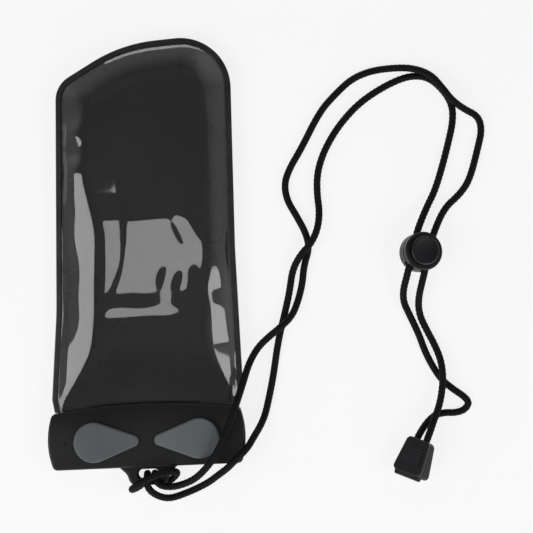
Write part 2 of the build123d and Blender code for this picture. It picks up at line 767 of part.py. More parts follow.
write("front_window", front_window())
write("back_sheet", back_sheet())
write("welded_rim", welded_rim())
write("rear_jaw", rear_jaw())
write("front_jaw", front_jaw())
write("seal_strip", seal_strip())

left_place = Pos(-lever_x, lever_y)
for name, solid in (("lever", lever()), ("spindle", spindle()), ("split_ring", split_ring())):
    left = left_place * solid
    write("left_" + name, left)
    write("right_" + name, mirror(left, Plane.YZ))

write("neck_cord", neck_cord())

write("lock_body", lock_frame() * lock_body())
write("lock_button", lock_frame() * lock_button())
write("lock_spring", lock_frame() * lock_spring())

write("cord_end_base", end_frame() * cord_end_base())
write("cord_end_lid", end_frame() * cord_end_lid())
write("cord_end_pin", end_frame() * cord_end_pin())
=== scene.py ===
"""Waterproof phone case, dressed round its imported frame: films, clip, levers, cord, lock and cord end."""

import math

import bpy
import numpy as np
from bpy.props import FloatProperty, FloatVectorProperty, IntProperty, PointerProperty
from mathutils import Matrix, Vector


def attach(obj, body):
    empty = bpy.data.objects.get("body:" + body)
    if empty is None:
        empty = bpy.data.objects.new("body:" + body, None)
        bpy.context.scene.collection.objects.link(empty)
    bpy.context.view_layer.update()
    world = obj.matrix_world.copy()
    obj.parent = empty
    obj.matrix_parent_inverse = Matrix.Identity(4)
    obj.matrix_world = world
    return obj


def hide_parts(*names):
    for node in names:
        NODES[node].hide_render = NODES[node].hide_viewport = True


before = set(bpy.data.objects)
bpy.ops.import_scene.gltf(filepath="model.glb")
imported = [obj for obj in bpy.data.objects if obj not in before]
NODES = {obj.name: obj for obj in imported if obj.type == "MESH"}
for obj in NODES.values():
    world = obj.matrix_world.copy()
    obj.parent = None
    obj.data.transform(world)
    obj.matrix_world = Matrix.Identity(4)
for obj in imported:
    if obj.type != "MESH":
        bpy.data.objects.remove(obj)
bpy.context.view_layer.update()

bl_info = {
    "name": "Waterproof Phone Case",
    "version": (1, 0, 0),
    "blender": (4, 5, 0),
    "location": "3D View > Sidebar > Case",
    "description": "Builds the soft parts, the braided cord and the finishes of a waterproof phone case",
    "category": "Add Mesh",
}

MM = 0.001

# Lengths along the case are given in millimetres from the middle of the clip, as in the part's source. The
# origin lies below the middle of the case, so points are moved by CASE_SHIFT along the pouch.
CASE_TOP = 190.6321
EYE_LOW = -21.6
CASE_SHIFT = -(CASE_TOP + EYE_LOW) / 2

# The pouch's outline, clockwise from the left end of its mouth: x, y and the radius that rounds the corner.
# Then the steps of each rounding, and the number of points that the outline is spaced to.
POUCH_CORNERS = [
    (-43.3, 7.4, 0), (-43.3, 14, 0), (-44.4, 21, 0), (-40.61, 62.32, 150), (-36.46, 170.59, 13),
    (-4.52, 188.84, 70), (47.29, 192.33, 24), (45.71, 89.64, 150), (46.7, 21, 0), (43.3, 14, 0),
    (43.3, 7.4, 0),
]
ARC_STEPS = 24
OUTLINE_POINTS = 1600

# The films: the plane between them, the outer face of the front film's lip and how far each film puffs up.
PARTING_HEIGHT = 6.2
LIP_HEIGHT = 6.75
FRONT_RISE = 6.4
BACK_RISE = 5.5

# How far a film's edge lies inside the outline and above the mouth's end, how far from the outline its flat
# edge by the weld reaches, and how far up the pouch its flat lip goes.
FILM_INSET = 1.35
MOUTH_INSET = 0.2
WELD_FLAT = 2.5
LIP_END = 17.0

# The grid of a film: rows along the pouch, columns across it, and places close to its two upper corners.
FILM_ROWS = 200
FILM_COLUMNS = 110
GRID_CORNERS = ((-36.0, 175.5), (38.0, 184.5))

# The cord end's place, and its heading, dip and roll in degrees. Then the ribs of its lid: their spacing and
# shift, the half length and half width of the field where a highlight is painted on their crowns, and the
# heights over the cord end's middle between which the painted highlight sets in.
END_PLACE = (126.75, -13.3, 9.45)
END_TURN = (65.0, 6.0, 38.0)
RIB_PITCH = 1.5
RIB_SHIFT = 0.2
RIB_HALF_LENGTH = 4.4
RIB_HALF_WIDTH = 5.2
RIB_HIGHLIGHT_HEIGHTS = (2.4, 2.9)

# The cord: the points round it and the rows along it that each yarn gets, and the number of points that its
# mesh stays below.
POINTS_PER_YARN = 4
ROWS_PER_YARN = 8
MOST_CORD_POINTS = 97000

# The camera's sensor in millimetres and, in metres, the point below the camera and the floor's size and
# middle. Then the share of the floor that glows evenly, and the sky's strength low down and overhead with the
# heights between which it changes.
SENSOR_WIDTH = 36.0
VIEW_CENTRE = (0.06028, (80.09 + CASE_SHIFT) * MM)
FLOOR_SIZE = 6.0
FLOOR_MIDDLE = (0.06, 0.0, 0.0)
FLOOR_GLOW = 0.82
SKY = {"From Min": 0.35, "From Max": 0.9, "To Min": 0.4, "To Max": 0.1}

# The lamps: name, shape, place, the point that the lamp is turned to, size in metres and power in watts.
LAMPS = (
    ("left_bank", "RECTANGLE", (-0.62, -0.34, 0.78), (0.05, -0.33966, 0.0), (0.82, 0.62), 5.2),
    ("right_bank", "RECTANGLE", (0.78, -0.46, 0.8), (0.05, -0.45954, 0.0), (0.75, 0.45), 3.6),
    ("far_bank", "RECTANGLE", (0.05, 1.35, 0.2), (0.05, 0.0, 0.0), (1.4, 0.22), 2.8),
    ("near_bank", "RECTANGLE", (0.05, -1.4, 0.4), (0.05, 0.0, 0.0), (1.4, 0.5), 6.2),
    ("window", "ELLIPSE", (-0.0605, -0.004, 1.0), (0.05, 0.0, 0.0), (0.135, 0.16), 0.13),
)

# The middle line of the cord, from the cord end round the neck loop to the eye and back.
CORD_ROUTE = [
    (125.81, -10.1, 7.45), (129.38, -2.44, 6.56), (136.55, 5.43, 2.75), (142.56, 6.68, 1.85),
    (147.55, 6.24, 1.75), (152.06, 7.41, 1.75), (154.59, 10.79, 1.75), (152.11, 14.01, 1.75),
    (147.14, 17.54, 1.75), (141.68, 22.39, 1.75), (137.73, 28.92, 1.75), (134.29, 36.45, 1.75),
    (131.85, 44.47, 1.75), (128.42, 52.49, 1.75), (123.99, 62.53, 3.75), (127.31, 75.38, 11.26),
    (129, 81.25, 10.21), (131.17, 88.84, 8.87), (132.86, 94.71, 7.82), (137.83, 104.92, 3.75),
    (142.39, 112.89, 1.75), (146.18, 123.66, 1.75), (149.56, 134.83, 1.75), (152.65, 146.31, 1.75),
    (152.22, 154.81, 1.75), (147.28, 162.35, 1.75), (141.32, 167.4, 1.75), (133.83, 168.45, 1.75),
    (126.31, 166.51, 1.75), (116.78, 161.99, 1.75), (107.73, 156.16, 1.75), (99.67, 148.22, 1.75),
    (94.11, 140.77, 1.75), (89.55, 132.8, 1.75), (86.48, 123.82, 1.75), (85.9, 114.33, 1.75),
    (86.83, 104.82, 2.15), (85.26, 96.33, 4.35), (81.71, 89.86, 5.8), (76.67, 84.9, 4.9),
    (72.61, 77.93, 2.15), (71.04, 68.94, 1.75), (68.98, 60.46, 1.75), (64.35, 44.5, 1.75),
    (61.42, 28.02, 1.75), (58.63, 16.54, 1.75), (56.57, 9.06, 2.15), (54.03, 4.08, 4.95),
    (50.49, -0.9, 10.75), (47.46, -5.37, 14.35), (42.42, -9.83, 14.55), (37.89, -14.3, 13.35),
    (33.36, -17.76, 8.55), (28.33, -21.72, 4.15), (22.31, -24.68, 2.15), (16, -27.1, 1.75),
    (9.6, -28.9, 1.85), (5, -27.8, 3.7), (1.2, -25.1, 6.9), (-0.8, -21.8, 8.9),
    (-0.75, -18.5, 8.9), (-0.65, -16.05, 6.8), (-0.65, -16.05, 3.6), (-1.1, -18.5, 1.75),
    (-3.3, -21.4, 1.75), (-6.8, -23.4, 2.8), (-8.6, -23.5, 6.3), (-7.3, -22.1, 10.6),
    (-3.5, -19.7, 12.7), (1.4, -17.2, 12.9), (6.6, -15.5, 12.9), (11, -14.9, 12.4),
    (13.3, -15.3, 9.6), (13.6, -16.5, 6.3), (12.4, -18.2, 3.1), (9.8, -20.4, 1.8),
    (7, -21.7, 1.75), (4.4, -21.3, 1.75), (3, -18.7, 1.75), (2.9, -16.05, 3.6),
    (2.9, -16.05, 6.8), (3, -18.6, 8.9), (5.6, -21.9, 8.9), (10.8, -22.6, 9.2),
    (16, -21.6, 9.8), (21.85, -19.17, 11.55), (26.89, -14.71, 14.55), (31.43, -9.25, 17.15),
    (35.48, -2.28, 17.55), (39.55, 6.69, 17.55), (43.12, 15.66, 16.75), (46.7, 25.13, 13.15),
    (49.77, 34.11, 8.15), (54.33, 41.57, 4.15), (59.87, 46.53, 5), (65.9, 50.98, 5.7),
    (71.44, 55.94, 5), (74.49, 62.42, 2.05), (77.06, 70.9, 1.75), (78.13, 79.39, 1.75),
    (81.2, 88.37, 1.75), (79.75, 95.38, 1.75), (75.81, 103.41, 1.75), (71.38, 111.44, 1.75),
    (70.44, 119.45, 1.75), (73.5, 126.93, 1.75), (79.07, 135.38, 1.75), (88.7, 152.81, 1.75),
    (96.27, 160.75, 1.75), (104.82, 168.18, 1.75), (114.35, 171.61, 1.75), (124.86, 172.52, 1.85),
    (133.85, 171.95, 3.55), (142.33, 168.39, 5.75), (147.77, 161.34, 6.65), (152.22, 155.31, 5.85),
    (158.19, 151.26, 2.35), (164.67, 147.71, 1.75), (166.11, 141.2, 1.75), (164.05, 133.22, 1.75),
    (159.43, 117.75, 1.75), (154.37, 110.79, 1.75), (146.32, 104.35, 3.15), (140.3, 92.28, 6.16),
    (138.61, 86.41, 7.2), (136.44, 78.82, 8.55), (134.75, 72.95, 9.59), (131.99, 61.47, 3.55),
    (132.43, 53.96, 1.85), (135.37, 46.94, 1.75), (139.31, 38.91, 1.95), (141.75, 31.39, 4.15),
    (142.19, 23.38, 5.65), (141.13, 15.89, 5.55), (139.58, 9.9, 5.75), (137.04, 4.42, 7.75),
    (133.53, -3.97, 9.99), (129.96, -11.64, 10.88),
]


# Settings


class CordSettings(bpy.types.PropertyGroup):
    """Sizes and colours of the braided cord."""

    diameter: FloatProperty(
        name="Diameter", description="Thickness of the cord over its braid",
        default=0.0035, subtype="DISTANCE", unit="LENGTH",
    )
    yarns: IntProperty(
        name="Yarns", description="Yarns that run each way round the cord",
        default=6, min=4, max=12,
    )
    lay: FloatProperty(
        name="Lay", description="Length in which a yarn goes once round the cord",
        default=0.0126, subtype="DISTANCE", unit="LENGTH",
    )
    relief: FloatProperty(
        name="Relief", description="Depth of the valleys between the yarns",
        default=0.00026, subtype="DISTANCE", unit="LENGTH",
    )
    colour: FloatVectorProperty(
        name="Colour", description="Colour of the yarns",
        default=(0.0036, 0.0036, 0.0042), subtype="COLOR",
    )


class FilmSettings(bpy.types.PropertyGroup):
    """Sizes and colours of the pouch."""

    thickness: FloatProperty(
        name="Thickness", description="Thickness of the front and back film",
        default=0.0005, subtype="DISTANCE", unit="LENGTH",
    )
    fullness: FloatProperty(
        name="Folds", description="Scale of the soft folds in the films",
        default=1.0, min=0.0,
    )
    clear: FloatVectorProperty(
        name="Clear film", description="Tint of the clear film",
        default=(0.022, 0.021, 0.022), subtype="COLOR",
    )
    dark: FloatVectorProperty(
        name="Dark film", description="Colour of the back film",
        default=(0.036, 0.033, 0.033), subtype="COLOR",
    )


class ClipSettings(bpy.types.PropertyGroup):
    """Colours of the moulded pieces."""

    jaw: FloatVectorProperty(
        name="Jaws", description="Colour of the clip's jaws",
        default=(0.0062, 0.0064, 0.0074), subtype="COLOR",
    )
    lever: FloatVectorProperty(
        name="Levers", description="Colour of the cam levers",
        default=(0.088, 0.101, 0.106), subtype="COLOR",
    )
    lock: FloatVectorProperty(
        name="Cord lock", description="Colour of the cord lock and the cord end",
        default=(0.0058, 0.0064, 0.0078), subtype="COLOR",
    )


class StageSettings(bpy.types.PropertyGroup):
    """Camera and lamps."""

    camera_height: FloatProperty(
        name="Camera height", description="Height of the camera over the floor",
        default=0.85, subtype="DISTANCE", unit="LENGTH",
    )
    view_width: FloatProperty(
        name="View width", description="Width of floor that the picture shows",
        default=0.25584, subtype="DISTANCE", unit="LENGTH",
    )
    turn: FloatProperty(
        name="Turn", description="Turn of the case in the picture",
        default=math.radians(2.45), subtype="ANGLE", unit="ROTATION",
    )
    lamp_strength: FloatProperty(
        name="Lamp strength", description="Scale of all lamps",
        default=1.0, min=0.0,
    )


def settings(part):
    """The PropertyGroup of one part, by name."""
    return getattr(bpy.context.scene, "case_" + part)


# Shader maths


class Value:
    """One output socket of a node tree; arithmetic on it adds Math nodes."""

    def __init__(self, finish, socket):
        self.finish = finish
        self.socket = socket

    def math(self, operation, other=None, swap=False):
        terms = [self] if other is None else [self, other]
        if swap:
            terms.reverse()
        return self.finish.node("ShaderNodeMath", {"operation": operation}, dict(enumerate(terms)))

    def __add__(self, other):
        return self.math("ADD", other)

    __radd__ = __add__

    def __sub__(self, other):
        return self.math("SUBTRACT", other)

    def __rsub__(self, other):
        return self.math("SUBTRACT", other, swap=True)

    def __mul__(self, other):
        return self.math("MULTIPLY", other)

    __rmul__ = __mul__

    def __truediv__(self, other):
        return self.math("DIVIDE", other)

    def above(self, low, high):
        """0 below low, 1 above high, and smooth between them."""
        return self.finish.node(
            "ShaderNodeMapRange",
            {"interpolation_type": "SMOOTHSTEP"},
            {"Value": self, "From Min": low, "From Max": high},
        )


class Finish:
    """A material and its node tree."""

    def __init__(self, name):
        self.material = bpy.data.materials.new(name)
        self.material.use_nodes = True
        self.tree = self.material.node_tree
        self.tree.nodes.clear()
        self.output = self.tree.nodes.new("ShaderNodeOutputMaterial")

    def node(self, kind, options=None, inputs=None, out=0):
        """Add a node: its settings first, then the values or links of its sockets."""
        made = self.tree.nodes.new(kind)
        for key, value in (options or {}).items():
            setattr(made, key, value)
        for key, value in (inputs or {}).items():
            if isinstance(value, Value):
                self.tree.links.new(value.socket, made.inputs[key])
            elif value is not None:
                socket = made.inputs[key]
                if socket.type == "RGBA" and len(value) == 3:
                    value = (*value, 1.0)
                socket.default_value = value
        return Value(self, made.outputs[out])

    def place(self, kind="Object"):
        """Texture coordinates of the piece."""
        made = self.tree.nodes.new("ShaderNodeTexCoord")
        return Value(self, made.outputs[kind])

    def noise(self, scale, detail=2.0, roughness=0.5, where=None, distortion=0.0):
        sockets = {"Vector": where or self.place(), "Scale": scale, "Detail": detail}
        sockets.update({"Roughness": roughness, "Distortion": distortion})
        return self.node("ShaderNodeTexNoise", None, sockets)

    def mix(self, share, first, second):
        """Mix two colours by a share."""
        made = self.tree.nodes.new("ShaderNodeMix")
        made.data_type = "RGBA"
        for socket, value in ((made.inputs[0], share), (made.inputs[6], first), (made.inputs[7], second)):
            if isinstance(value, Value):
                self.tree.links.new(value.socket, socket)
            else:
                socket.default_value = value if isinstance(value, float) else (*value[:3], 1.0)
        return Value(self, made.outputs[2])

    def bump(self, height, strength, distance):
        sockets = {"Height": height, "Strength": strength, "Distance": distance}
        return self.node("ShaderNodeBump", None, sockets)

    def principled(self, **inputs):
        """Add the surface shader, with sockets named by their words joined by underscores."""
        named = {key.replace("_", " "): value for key, value in inputs.items()}
        shader = self.node("ShaderNodeBsdfPrincipled", None, named)
        self.tree.links.new(shader.socket, self.output.inputs["Surface"])
        return shader


def shade(colour, factor):
    """A colour made lighter or darker."""
    return tuple(min(1.0, channel * factor) for channel in colour[:3])


# Helpers for pieces


def clip_frame(points):
    """Points in millimetres from the clip's middle, as metres in the case's frame."""
    return [(x * MM, (y + CASE_SHIFT) * MM, z * MM) for x, y, z in points]


def activate(piece):
    """Make a piece the active one and the only one selected."""
    bpy.ops.object.select_all(action="DESELECT")
    piece.select_set(True)
    bpy.context.view_layer.objects.active = piece


def mesh_piece(name, vertices, faces, finish, body):
    """A new mesh piece at the origin that rides on a body."""
    mesh = bpy.data.meshes.new(name)
    mesh.from_pydata([tuple(v) for v in vertices], [], [tuple(f) for f in faces])
    mesh.update()
    mesh.materials.append(finish.material)
    piece = bpy.data.objects.new(name, mesh)
    bpy.context.scene.collection.objects.link(piece)
    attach(piece, body)
    return piece


def dress(node, finish):
    """Give a CAD node its finish."""
    piece = NODES[node]
    if not piece.material_slots:
        piece.data.materials.append(finish.material)
    for slot in piece.material_slots:
        slot.link = "OBJECT"
        slot.material = finish.material


# Lines and soft shapes


def fillet_corner(before, corner, after, radius, steps):
    """Points of the arc that rounds one corner."""
    a = np.array(before, float) - corner
    b = np.array(after, float) - corner
    a /= np.linalg.norm(a)
    b /= np.linalg.norm(b)
    half = math.acos(max(-1.0, min(1.0, float(a @ b)))) / 2
    reach = radius / math.tan(half)
    middle = (a + b) / np.linalg.norm(a + b) * radius / math.sin(half)
    centre = np.array(corner, float) + middle
    start = np.array(corner, float) + a * reach - centre
    end = np.array(corner, float) + b * reach - centre
    angle = math.atan2(start[0] * end[1] - start[1] * end[0], float(start @ end))
    points = []
    for step in range(steps + 1):
        turn = angle * step / steps
        points.append(
            (
                centre[0] + start[0] * math.cos(turn) - start[1] * math.sin(turn),
                centre[1] + start[0] * math.sin(turn) + start[1] * math.cos(turn),
            )
        )
    return points


def pouch_outline():
    """The pouch's outline as an open line from the left end of its mouth round to the right end."""
    line = []
    count = len(POUCH_CORNERS)
    for index, (x, y, radius) in enumerate(POUCH_CORNERS):
        if radius:
            before = POUCH_CORNERS[index - 1][:2]
            after = POUCH_CORNERS[(index + 1) % count][:2]
            line += fillet_corner(before, (x, y), after, radius, ARC_STEPS)
        else:
            line.append((x, y))
    return np.array(line)


def resample(line, count):
    """Points spaced evenly along a line."""
    gaps = np.linalg.norm(np.diff(line, axis=0), axis=1)
    along = np.concatenate(([0], np.cumsum(gaps)))
    places = np.linspace(0, along[-1], count)
    return np.stack([np.interp(places, along, line[:, k]) for k in range(line.shape[1])], axis=1)


def inset_line(line, distance):
    """A line moved to its right-hand side."""
    tangent = np.gradient(line, axis=0)
    tangent /= np.linalg.norm(tangent, axis=1)[:, None]
    return line + np.stack([tangent[:, 1], -tangent[:, 0]], axis=1) * distance


def distance_to_line(points, line):
    """Distance from each point to an open line."""
    best = np.full(len(points), 1e9)
    for start, end in zip(line[:-1], line[1:]):
        run = end - start
        share = np.clip(((points - start) @ run) / max(float(run @ run), 1e-9), 0, 1)
        best = np.minimum(best, np.linalg.norm(points - start - share[:, None] * run, axis=1))
    return best


def smooth_step(value, low, high):
    """0 below low, 1 above high, and smooth between them."""
    share = np.clip((value - low) / (high - low), 0, 1)
    return share * share * (3 - 2 * share)


def between(value, rise, fall):
    """Rises from 0 to 1 over one range and falls back to 0 over another."""
    return smooth_step(value, *rise) * (1 - smooth_step(value, *fall))


def crease(offset, width):
    """A smooth step from -1 to 1 across a line."""
    return np.tanh(offset / width)


def turned(x, y, at, turn):
    """Offsets from a point, along axes turned by an angle in degrees."""
    c, s = math.cos(math.radians(turn)), math.sin(math.radians(turn))
    return (x - at[0]) * c + (y - at[1]) * s, -(x - at[0]) * s + (y - at[1]) * c


def hill(x, y, at, size, turn=0.0):
    """A soft round hill, 1 at its top, of two half widths."""
    u, v = turned(x, y, at, turn)
    u, v = u / size[0], v / size[1]
    return np.exp(-(u * u + v * v))


def dent(x, y, at, size, turn=0.0):
    """A soft tilted patch: its middle leans, and it fades out all round."""
    return turned(x, y, at, turn)[0] * hill(x, y, at, size, turn)


def soft_lower(first, second, blend):
    """The lower of two heights, with a rounded crease."""
    gap = np.clip(0.5 + (second - first) / (2 * blend), 0, 1)
    return second + (first - second) * gap - blend * gap * (1 - gap)


# Films, in millimetres from the clip's middle


def film_grid(outline):
    """Points of a grid over the pouch, row by row from its mouth to its rounded end."""
    edge = inset_line(resample(outline, OUTLINE_POINTS), FILM_INSET)
    edge[:, 1] = np.maximum(edge[:, 1], POUCH_CORNERS[0][1] + MOUTH_INSET)
    left_end, right_end = (
        int(np.argmin(np.linalg.norm(edge - np.array(corner), axis=1))) for corner in GRID_CORNERS
    )
    left = resample(edge[: left_end + 1], FILM_ROWS)
    top = resample(edge[left_end : right_end + 1], FILM_COLUMNS)
    right = resample(edge[right_end:][::-1], FILM_ROWS)
    bottom = np.linspace(edge[0], edge[-1], FILM_COLUMNS)
    v = np.linspace(0, 1, FILM_ROWS)[:, None, None]
    u = np.linspace(0, 1, FILM_COLUMNS)[None, :, None]
    blend = (1 - v) * bottom[None] + v * top[None] + (1 - u) * left[:, None] + u * right[:, None]
    lower_corners = (1 - u) * bottom[0] + u * bottom[-1]
    upper_corners = (1 - u) * top[0] + u * top[-1]
    return (blend - (1 - v) * lower_corners - v * upper_corners).reshape(-1, 2)


def puff(x, y, reach):
    """Share of the film's full rise at each point, from the welded edge and from the clip."""
    left = smooth_step(-x, -8.0, 22.0)
    right = smooth_step(x, -8.0, 22.0)
    width = 13.0 + 4.0 * smooth_step(y, 150.0, 172.0)
    width += 9.0 * right * (1 - smooth_step(y, 46.0, 92.0))
    width += 11.0 * left * (1 - smooth_step(y, 96.0, 132.0))
    width += 9.0 * hill(x, y, (-33, 157), (9, 6)) + 8.0 * hill(x, y, (-33, 139), (8, 5))
    side = 1 - (1 - np.clip((reach - WELD_FLAT) / width, 0, 1)) ** 2.1
    mouth = 1 - (1 - np.clip((y - LIP_END) / 37.0, 0, 1)) ** 1.9
    return soft_lower(side, mouth, 0.16)


def front_folds(x, y):
    """Soft folds of the front film."""
    # A wavy fold along the left side.
    line = -31.4 + 1.3 * np.sin(y * 0.1 + 0.4) + 0.6 * np.sin(y * 0.23 + 1.0) + 0.02 * (y - 80)
    folds = 0.5 * crease(x - line, 1.7) * between(y, (44, 60), (104, 118))
    # A bent fold up the middle, with the film lifted to its left.
    line = -14.0 + 7.5 * np.tanh((y - 70.0) / 14.0)
    lift = 0.32 * smooth_step(y, 24, 50) + 0.3 * smooth_step(y, 98, 130) - 0.62 * smooth_step(y, 132, 168)
    folds += lift * (0.5 - 0.5 * crease(x - line, 1.9))
    # Small leaning patches to the right of it.
    folds += 0.1 * dent(x, y, (17.4, 74.0), (6.5, 9.0), -14)
    folds += 0.07 * dent(x, y, (22.5, 100.0), (3.6, 9.0), 24)
    folds += 0.07 * dent(x, y, (31.0, 67.0), (2.4, 9.0), 4)
    # A fold along the right side, a small hill near the clip, and long shallow waves.
    folds -= 0.22 * crease(x - 34.6 - 0.03 * (y - 120), 1.1) * between(y, (62, 72), (156, 170))
    folds += 0.4 * hill(x, y, (18, 41), (3.2, 6), -6)
    folds += 0.07 * np.sin(x * 0.14 + y * 0.05) * np.sin(y * 0.07 - 0.5)
    return folds


def back_folds(x, y):
    """Soft folds of the back film."""
    return 0.3 * np.sin(x * 0.12 - y * 0.03) * np.sin(y * 0.06 + 0.7) - 0.42


def grid_faces(rows, columns):
    """Four-sided faces of a grid whose points run row by row."""
    faces = []
    for row in range(rows - 1):
        for column in range(columns - 1):
            first = row * columns + column
            faces.append((first, first + 1, first + columns + 1, first + columns))
    return faces


def film_piece(name, rise, ripple, finish, node, downward=False):
    """One film of the pouch: a puffed sheet with soft folds, given its thickness."""
    film = settings("film")
    outline = pouch_outline()
    points = film_grid(outline)
    x, y = points[:, 0], points[:, 1]
    reach = distance_to_line(points, outline)
    fade = smooth_step(reach, 2.6, 6.0) * smooth_step(y, LIP_END, 26.0)
    height = LIP_HEIGHT + rise * puff(x, y, reach) + ripple(x, y) * film.fullness * fade
    faces = grid_faces(FILM_ROWS, FILM_COLUMNS)
    if downward:
        height = 2 * PARTING_HEIGHT - height
        faces = [face[::-1] for face in faces]
    vertices = np.stack([x, y + CASE_SHIFT, height], axis=1) * MM
    piece = mesh_piece(name, vertices, faces, finish, "case")
    wall = piece.modifiers.new("wall", "SOLIDIFY")
    wall.thickness = film.thickness
    wall.offset = -1
    activate(piece)
    bpy.ops.object.modifier_apply(modifier=wall.name)
    bpy.ops.object.shade_smooth()
    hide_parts(node)
    box = points.max(axis=0) - points.min(axis=0)
    return piece


# Cord


def cord_line(context):
    """Points along the middle of the cord, on a smooth curve drawn through its route."""
    route = clip_frame(CORD_ROUTE)
    line = bpy.data.curves.new("cord_line", "CURVE")
    line.dimensions = "3D"
    spline = line.splines.new("NURBS")
    spline.points.add(len(route) - 1)
    for point, place in zip(spline.points, route):
        point.co = (*place, 1.0)
    spline.order_u = 3
    spline.use_endpoint_u = True
    line.resolution_u = 24
    guide = bpy.data.objects.new("cord_line", line)
    context.scene.collection.objects.link(guide)
    context.view_layer.update()
    flat = bpy.data.meshes.new_from_object(guide.evaluated_get(context.evaluated_depsgraph_get()))
    points = np.array([v.co for v in flat.vertices], float).reshape(-1, 3)
    bpy.data.objects.remove(guide)
    return points


def carried_side(tangent):
    """A direction across the line at each row, carried along it without twist."""
    side = np.zeros_like(tangent)
    first = np.cross(tangent[0], (0.0, 0.0, 1.0))
    side[0] = first / np.linalg.norm(first)
    for row in range(1, len(tangent)):
        carried = side[row - 1] - tangent[row] * float(side[row - 1] @ tangent[row])
        side[row] = carried / np.linalg.norm(carried)
    return side


def yarn_crown(across, along):
    """Height of a yarn from its edges to its middle, lower where it dives below the next one."""
    return np.sin(math.pi * (across % 1.0)) ** 0.6 * (0.6 + 0.4 * np.sin(math.pi * (along % 1.0)))


def tube_faces(rows, around):
    """Faces of a closed tube: its wall row by row, then its two ends."""
    faces = []
    for row in range(rows - 1):
        start = row * around
        for spoke in range(around):
            after = (spoke + 1) % around
            faces.append((start + spoke, start + spoke + around, start + after + around, start + after))
    faces.append(tuple(range(around)))
    faces.append(tuple(range(rows * around - 1, (rows - 1) * around - 1, -1)))
    return faces


def lay_fibres(mesh, along, around):
    """Map the cord's surface: its share of a turn, and its length from the cord's first end."""
    loop = np.arange(len(mesh.loops))
    index = np.zeros(len(loop), np.int32)
    mesh.loops.foreach_get("vertex_index", index)
    places = np.zeros((len(loop), 2), np.float32)
    places[:, 0] = (index % around) / around
    places[:, 1] = along[index // around]
    wall = loop < 4 * around * (len(along) - 1)
    closing = wall & (loop % 4 >= 2) & (index % around == 0)
    places[closing, 0] = 1.0
    mesh.uv_layers.new(name="along").data.foreach_set("uv", places.ravel())


# Finishes


def clear_film_finish():
    film = settings("film")
    made = Finish("clear_film")
    haze = made.noise(60.0, 1.0, 0.4)
    made.principled(
        Base_Color=tuple(film.clear),
        Roughness=0.03,
        IOR=2.5,
        Alpha=0.3,
        Normal=made.bump(haze, 0.12, 0.0004),
    )
    return made


def dark_film_finish():
    film = settings("film")
    made = Finish("dark_film")
    cloud = made.noise(30.0, 4.0, 0.6)
    fine = made.noise(1400.0, 2.0, 0.6)
    made.principled(
        Base_Color=made.mix(cloud.above(0.2, 0.8), shade(film.dark, 0.88), shade(film.dark, 1.14)),
        Roughness=0.22 + cloud * 0.12,
        Normal=made.bump(fine, 0.08, 0.0002),
    )
    return made


def weld_finish():
    made = Finish("weld_bead")
    cloud = made.noise(120.0, 4.0, 0.6)
    made.principled(
        Base_Color=made.mix(cloud.above(0.3, 0.7), (0.008, 0.008, 0.009), (0.018, 0.018, 0.019)),
        Roughness=0.24 + cloud * 0.16,
        Normal=made.bump(cloud, 0.12, 0.0004),
    )
    return made


def moulded_texture(made, colour, grain=1500.0):
    """Fine spark texture, faint flow marks, and the colour as the flow marks change it."""
    spark = made.noise(grain, 3.0, 0.65)
    flow = made.noise(26.0, 3.0, 0.5)
    tone = made.mix(flow.above(0.3, 0.7), shade(colour, 0.88), shade(colour, 1.12))
    return spark, flow, tone


def moulded_finish(name, colour, gloss, grain=1500.0, depth=0.00006, shine=0.5):
    """Moulded plastic with a fine spark texture, faint flow marks and light scuffs."""
    made = Finish(name)
    spark, flow, tone = moulded_texture(made, colour, grain)
    worn = made.noise(340.0, 5.0, 0.7, distortion=0.6).above(0.62, 0.72)
    made.principled(
        Base_Color=made.mix(worn * 0.25, tone, shade(colour, 1.8)),
        Roughness=gloss + flow * 0.10 + worn * 0.08,
        Specular_IOR_Level=shine,
        Normal=made.bump(spark, 0.35, depth),
    )
    return made


def ribbed_finish(name, colour):
    """The cord end's plastic, with painted highlights on the crowns of the ribs of its lid."""
    made = Finish(name)
    middle = (Vector(END_PLACE) + Vector((0.0, CASE_SHIFT, 0.0))) * MM
    heading, dip, roll = (math.radians(angle) for angle in END_TURN)
    along = Vector((math.cos(heading) * math.cos(dip), math.sin(heading) * math.cos(dip), -math.sin(dip)))
    level = Vector((math.sin(heading), -math.cos(heading), 0.0))
    up = level.cross(along) * math.cos(roll) - level * math.sin(roll)

    def distance(direction):
        """Millimetres from the cord end's middle in one direction."""
        offset = made.node(
            "ShaderNodeVectorMath", {"operation": "SUBTRACT"}, {0: made.place(), 1: tuple(middle)}
        )
        metres = made.node(
            "ShaderNodeVectorMath", {"operation": "DOT_PRODUCT"}, {0: offset, 1: tuple(direction)}, out=1
        )
        return metres / MM

    forward = distance(along) - RIB_SHIFT
    aside = distance(along.cross(up)).math("ABSOLUTE")
    turn = (forward / RIB_PITCH + 0.5).math("FRACT") * (2 * math.pi)
    ridge = turn.math("COSINE") * -1.0
    field = (RIB_HALF_LENGTH - forward.math("ABSOLUTE")).above(0.0, 0.3)
    field = field * (RIB_HALF_WIDTH - aside).above(0.0, 0.6)
    field = field * distance(up).above(*RIB_HIGHLIGHT_HEIGHTS)
    spark, flow, tone = moulded_texture(made, colour)
    # Painted highlight: within the field, the ribs' crowns are made up to six times lighter.
    made.principled(
        Base_Color=made.mix(ridge.above(-0.1, 0.9) * field * 0.8, tone, shade(colour, 6.0)),
        Roughness=0.36 + flow * 0.1,
        Specular_IOR_Level=0.3,
        Normal=made.bump(spark, 0.35, 0.00006),
    )
    return made


def rubber_finish():
    return moulded_finish("soft_seal", (0.03, 0.03, 0.031), 0.6, grain=2200.0)


